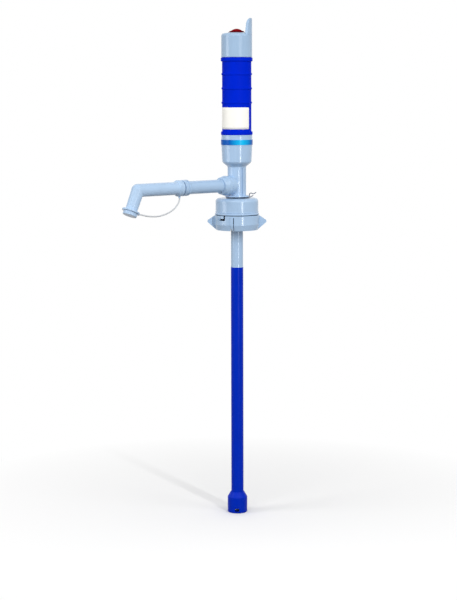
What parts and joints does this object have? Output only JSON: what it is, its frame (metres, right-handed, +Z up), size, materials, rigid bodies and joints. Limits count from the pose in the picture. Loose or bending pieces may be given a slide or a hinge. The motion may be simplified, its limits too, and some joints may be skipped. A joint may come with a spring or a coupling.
{
  "type": "electric water jug pump",
  "caption": "Battery water pump for a jug neck: handle with push button, swivelling spout with tethered cap, locking neck cap and long dip tube with impeller foot.",
  "frame": {"origin": "centre of the gasket face that rests on the jug's rim", "axes": "+Z up along the pump's column, the spout points along -X"},
  "size_m": [0.234, 0.0638, 0.7004],
  "materials": {
    "light_plastic": "satin moulded plastic",
    "blue_plastic": "satin moulded plastic",
    "trim_band": "gloss film",
    "steel": "drawn",
    "brass": "stamped",
    "black_rubber": "matte",
    "dark_plastic": "matte",
    "white_plastic": "matte",
    "red_plastic": "gloss",
    "battery_case": "satin",
    "tether_plastic": "satin"
  },
  "bodies": {
    "jug_cap": {"neck_cap": "light_plastic", "neck_gasket": "black_rubber", "neck_sleeve": "black_rubber"},
    "lock_ring": {"clamp_ring": "light_plastic"},
    "head": {"pump_body": "light_plastic", "trim_band": "trim_band", "battery_tube": "light_plastic", "grip_sleeve": "blue_plastic", "lower_battery": "battery_case", "upper_battery": "battery_case", "battery_spring": "steel", "contact_strip": "brass", "motor_retainer": "dark_plastic", "retainer_screws": "steel", "motor_can": "steel", "shaft_seal": "black_rubber", "column_clip": "steel", "outlet_gasket": "black_rubber", "outlet_nut": "light_plastic", "outlet_pipe": "light_plastic", "lower_stem": "light_plastic", "dip_tube": "blue_plastic", "shaft_bushes": "white_plastic", "impeller_housing": "blue_plastic", "intake_strainer": "blue_plastic"},
    "battery_cap": {"top_housing": "light_plastic", "button_boot": "black_rubber", "switch_carrier": "dark_plastic", "carrier_screws": "steel", "switch_body": "dark_plastic", "top_contact": "brass"},
    "button": {"power_button": "red_plastic", "button_spring": "steel"},
    "rotor": {"motor_shaft": "steel", "shaft_coupling": "white_plastic", "drive_shaft": "steel", "impeller": "white_plastic"},
    "spout_arm": {"spout": "light_plastic", "spout_o_ring": "black_rubber", "cap_tether": "tether_plastic"},
    "tip_cap": {"spout_cap": "light_plastic"}
  },
  "joints": [
    {"name": "ring_lock", "type": "hinge", "parent": "jug_cap", "child": "lock_ring", "pos_m": [0, 0, -0.0295], "axis": [0, 0, 1], "range_deg": [-17, 0]},
    {"name": "head_swivel", "type": "hinge", "parent": "jug_cap", "child": "head", "pos_m": [0, 0, 0.0033], "axis": [0, 0, 1], "continuous": true},
    {"name": "battery_cap_lift", "type": "slide", "parent": "head", "child": "battery_cap", "axis": [0, 0, 1], "range_m": [0, 0.03]},
    {"name": "button_press", "type": "slide", "parent": "battery_cap", "child": "button", "axis": [0, 0, -1], "range_m": [0, 0.0025], "stiffness_N_per_m": 400, "springref_m": -0.001, "deforming": ["button_spring"]},
    {"name": "rotor_spin", "type": "hinge", "parent": "head", "child": "rotor", "pos_m": [0, 0, -0.2], "axis": [0, 0, 1], "continuous": true},
    {"name": "spout_turn", "type": "hinge", "parent": "head", "child": "spout_arm", "pos_m": [-0.102, 0, 0.023], "axis": [1, 0, 0], "continuous": true},
    {"name": "tip_cap_pull", "type": "slide", "parent": "spout_arm", "child": "tip_cap", "axis": [-0.4067, 0, -0.9135], "range_m": [0, 0.014], "deforming": ["cap_tether"]}
  ]
}
